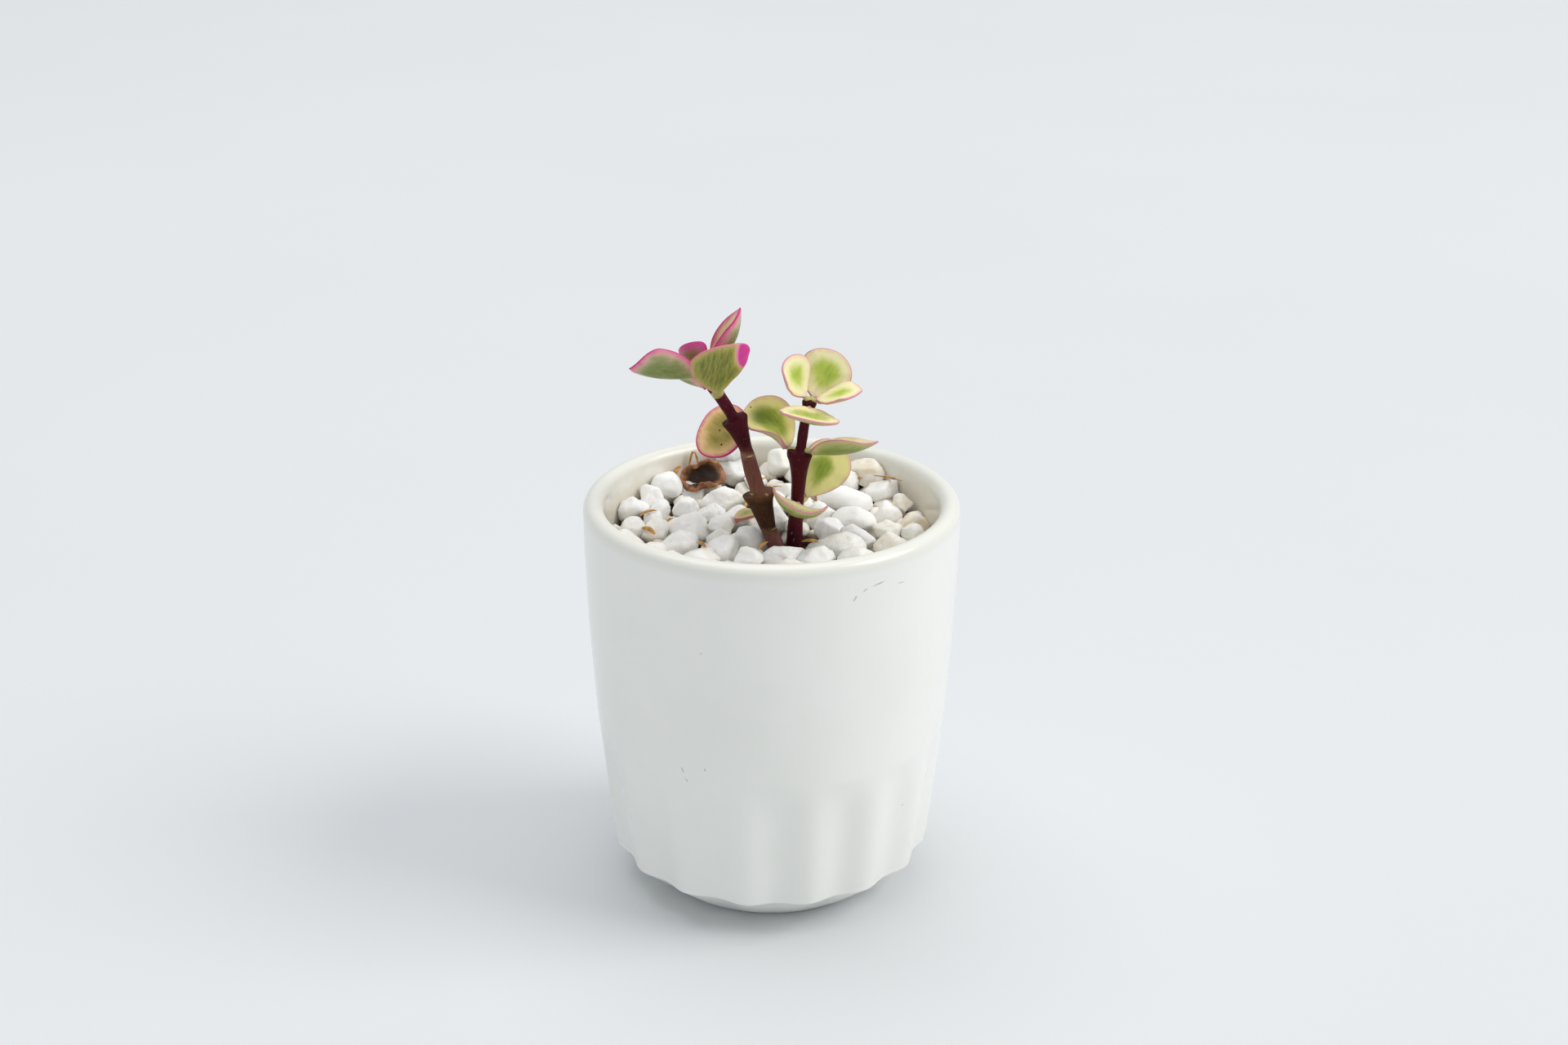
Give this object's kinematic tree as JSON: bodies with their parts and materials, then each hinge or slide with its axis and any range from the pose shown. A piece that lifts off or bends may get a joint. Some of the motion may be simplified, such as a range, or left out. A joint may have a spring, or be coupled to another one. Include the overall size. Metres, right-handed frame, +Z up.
{
  "type": "potted variegated elephant bush succulent",
  "caption": "Small fluted white ceramic pot with white marble gravel and rooted cuttings of a variegated succulent with pink-edged green and cream leaves.",
  "frame": {"origin": "centre of the pot's foot, on the surface it stands on", "axes": "+Z up along the pot's axis, -Y towards the viewer of the reference picture, +X to that viewer's right"},
  "size_m": [0.08, 0.08, 0.1306],
  "materials": {
    "white_glaze": "smooth white gloss glaze, greyer in the flutes",
    "marble_gravel": "worn white marble pebbles, some cream or grey",
    "potting_soil": "dark crumbly potting soil",
    "stem_bark": "smooth dark maroon young stem, browner and scarred on the older part",
    "variegated_leaf": "satin fleshy leaf, green centre, cream border and pink edge",
    "dry_leaf": "dry brown leaf and straw"
  },
  "bodies": {
    "root": {"pot": "white_glaze", "soil": "potting_soil", "gravel": "marble_gravel", "tall_stem": "stem_bark", "short_stem": "stem_bark", "short_leaf_top_left": "variegated_leaf", "short_leaf_top_back": "variegated_leaf", "short_leaf_top_right": "variegated_leaf", "short_leaf_upper_front": "variegated_leaf", "short_leaf_middle_left": "variegated_leaf", "short_leaf_middle_right": "variegated_leaf", "short_leaf_low_back": "variegated_leaf", "short_leaf_low_front": "variegated_leaf", "tall_leaf_left": "variegated_leaf", "tall_leaf_peak": "variegated_leaf", "tall_leaf_front": "variegated_leaf", "tall_leaf_bud": "variegated_leaf", "tall_leaf_low_left": "variegated_leaf", "tall_leaf_back": "variegated_leaf", "fallen_leaf": "variegated_leaf", "dried_leaf": "dry_leaf", "straw_loop": "dry_leaf", "straw_back": "dry_leaf", "straw_middle": "dry_leaf", "straw_by_stem": "dry_leaf", "straw_left": "dry_leaf", "straw_right": "dry_leaf", "straw_upright": "dry_leaf", "straw_front": "dry_leaf"}
  },
  "joints": []
}
